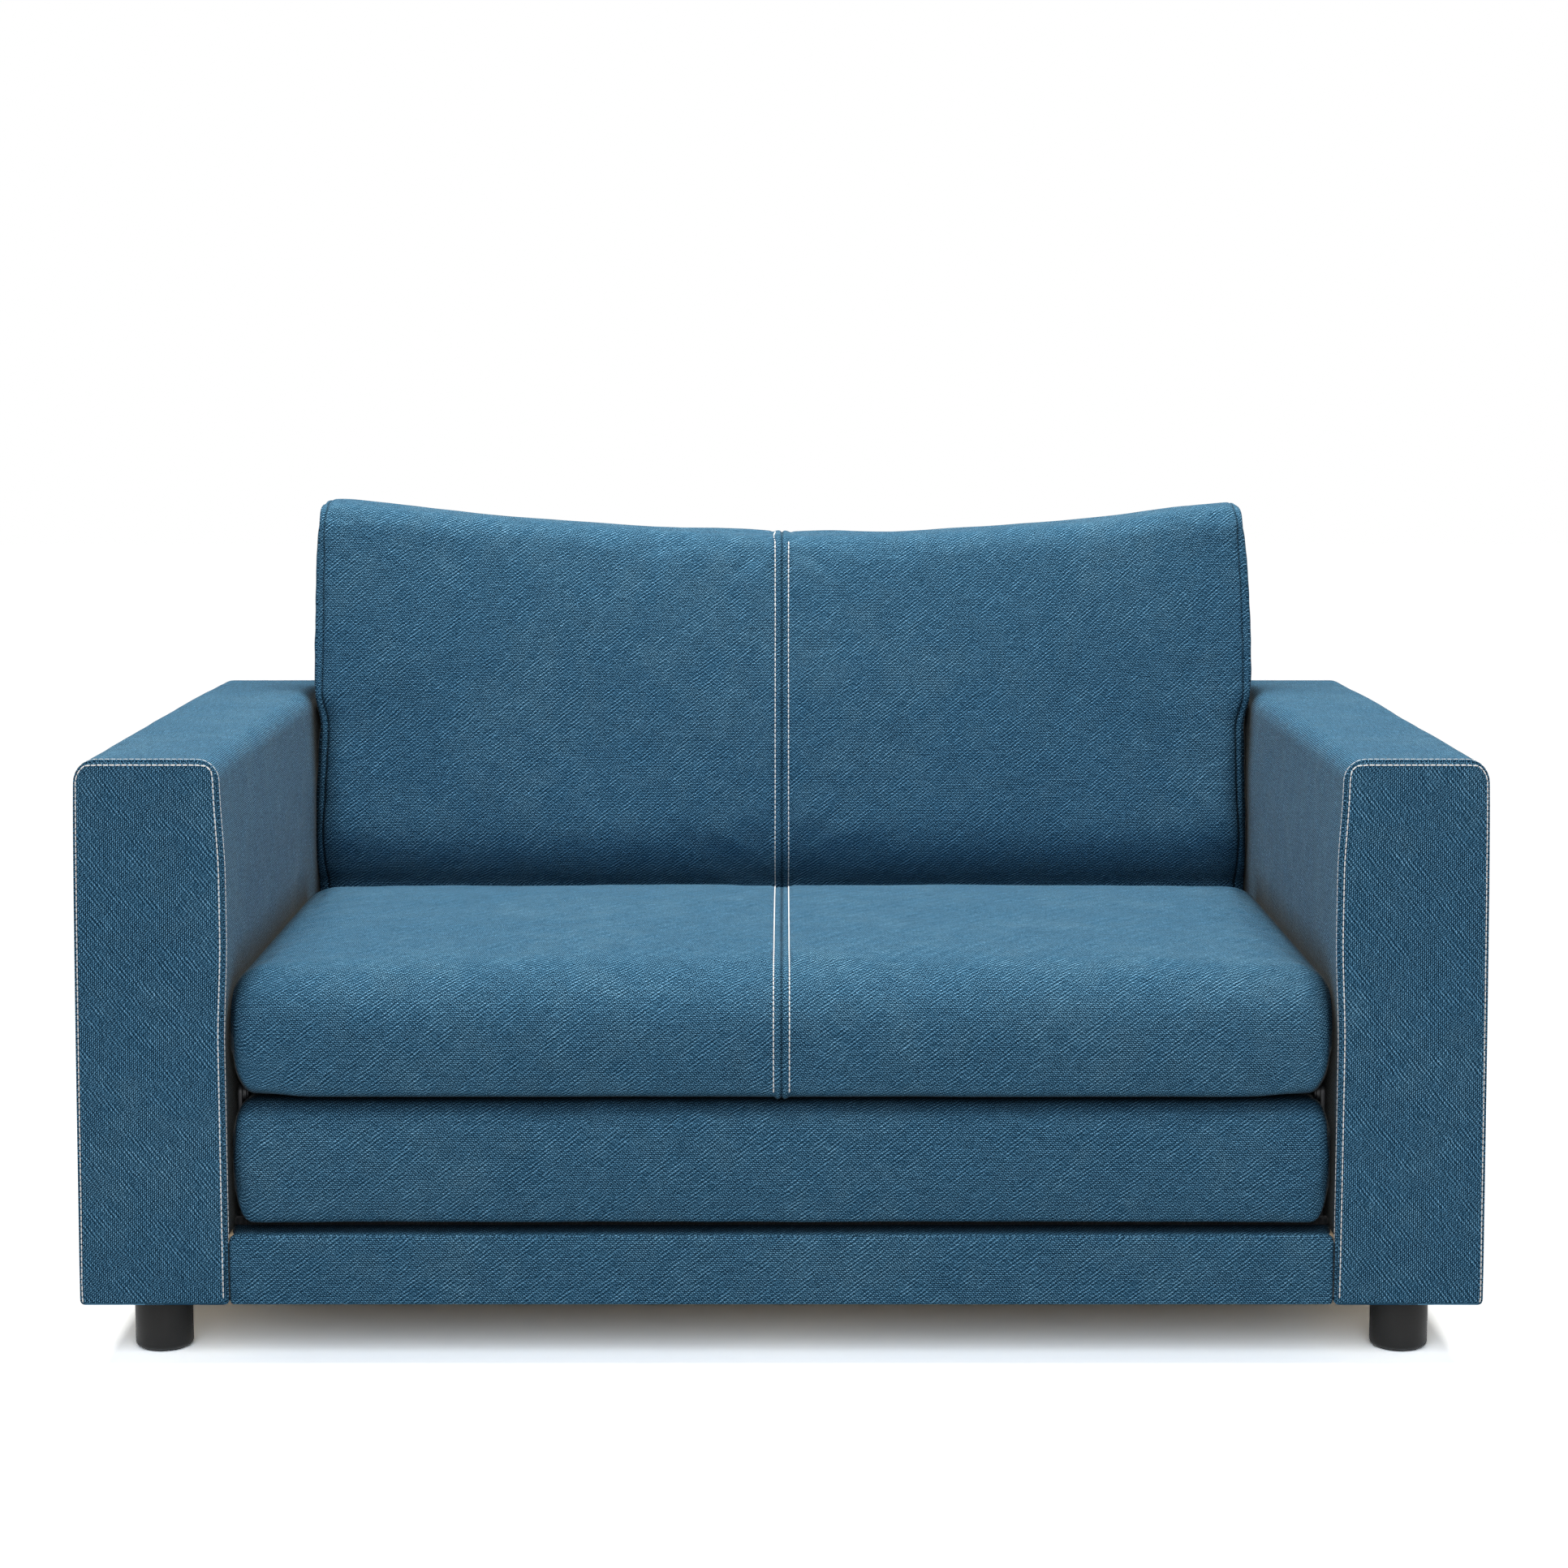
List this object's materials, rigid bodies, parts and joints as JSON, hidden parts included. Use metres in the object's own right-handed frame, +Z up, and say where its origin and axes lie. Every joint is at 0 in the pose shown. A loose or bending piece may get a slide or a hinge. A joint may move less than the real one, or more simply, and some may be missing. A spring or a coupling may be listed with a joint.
{
  "type": "sleeper sofa with pull out bed",
  "caption": "Two seat sleeper sofa with boxy arms and a loose back cushion, whose seat folds forward into a flat bed on folding legs.",
  "frame": {"origin": "middle of the footprint on the floor, at the undersides of the feet", "axes": "+X towards the right arm as seen from the front, -Y towards the front, +Z up"},
  "size_m": [1.42, 0.88, 0.8517],
  "materials": {
    "blue_fabric": "matte",
    "black_lining": "matte",
    "timber": "matte",
    "plywood": "satin",
    "black_steel": "satin",
    "zinc_steel": "satin",
    "foot_plastic": "matte"
  },
  "bodies": {
    "frame": {"apron_cover": "blue_fabric", "arm_base_board_left": "timber", "arm_base_board_right": "timber", "arm_cover_left": "blue_fabric", "arm_cover_right": "blue_fabric", "arm_front_post_left": "timber", "arm_front_post_right": "timber", "arm_rear_post_left": "timber", "arm_rear_post_right": "timber", "arm_top_rail_left": "timber", "arm_top_rail_right": "timber", "back_base_rail": "timber", "back_cover": "blue_fabric", "back_post_left": "timber", "back_post_right": "timber", "back_top_rail": "timber", "base_side_rail_left": "timber", "base_side_rail_right": "timber", "base_slat_1": "timber", "base_slat_2": "timber", "base_slat_3": "timber", "base_slat_4": "timber", "base_slat_5": "timber", "centre_beam": "timber", "foot_front_left": "foot_plastic", "foot_front_right": "foot_plastic", "foot_rear_left": "foot_plastic", "foot_rear_right": "foot_plastic", "front_rail": "timber", "main_hinge_bracket_left": "black_steel", "main_hinge_bracket_right": "black_steel", "rear_rail": "timber", "rear_section_board": "black_lining", "rear_section_pad": "blue_fabric"},
    "middle_section": {"butt_hinge_middle_leaf_left": "zinc_steel", "butt_hinge_middle_leaf_right": "zinc_steel", "main_hinge_arm_left": "black_steel", "main_hinge_arm_right": "black_steel", "middle_section_board": "plywood", "middle_section_pad": "blue_fabric"},
    "seat_section": {"butt_hinge_seat_leaf_left": "zinc_steel", "butt_hinge_seat_leaf_right": "zinc_steel", "seat_frame_front": "black_steel", "seat_frame_rear": "black_steel", "seat_frame_side_left": "black_steel", "seat_frame_side_right": "black_steel", "seat_pad": "blue_fabric", "seat_slat_1": "plywood", "seat_slat_2": "plywood", "seat_slat_3": "plywood"},
    "rear_legs": {"rear_leg_axle": "black_steel", "rear_leg_left": "black_steel", "rear_leg_right": "black_steel"},
    "front_legs": {"front_leg_axle": "black_steel", "front_leg_left": "black_steel", "front_leg_right": "black_steel"},
    "back_cushion": {"back_cushion": "blue_fabric"}
  },
  "joints": [
    {"name": "bed_fold", "type": "hinge", "parent": "frame", "child": "middle_section", "pos_m": [0, -0.394, 0.2773], "axis": [1, 0, 0], "range_deg": [0, 180]},
    {"name": "seat_fold", "type": "hinge", "parent": "middle_section", "child": "seat_section", "pos_m": [0, 0.176, 0.34405], "axis": [1, 0, 0], "range_deg": [-180, 0]},
    {"name": "rear_leg_fold", "type": "hinge", "parent": "seat_section", "child": "rear_legs", "pos_m": [0, 0.123, 0.3552], "axis": [1, 0, 0], "range_deg": [0, 90]},
    {"name": "front_leg_fold", "type": "hinge", "parent": "seat_section", "child": "front_legs", "pos_m": [0, -0.3057, 0.3552], "axis": [-1, 0, 0], "range_deg": [0, 90]},
    {"name": "cushion_lift", "type": "slide", "parent": "frame", "child": "back_cushion", "axis": [0, 0, 1], "range_m": [0, 0.6]}
  ],
  "couplings": [
    {"joint": "seat_fold", "follows": "bed_fold", "ratio": -1},
    {"joint": "rear_leg_fold", "follows": "bed_fold", "ratio": 0.5},
    {"joint": "front_leg_fold", "follows": "bed_fold", "ratio": 0.5}
  ]
}
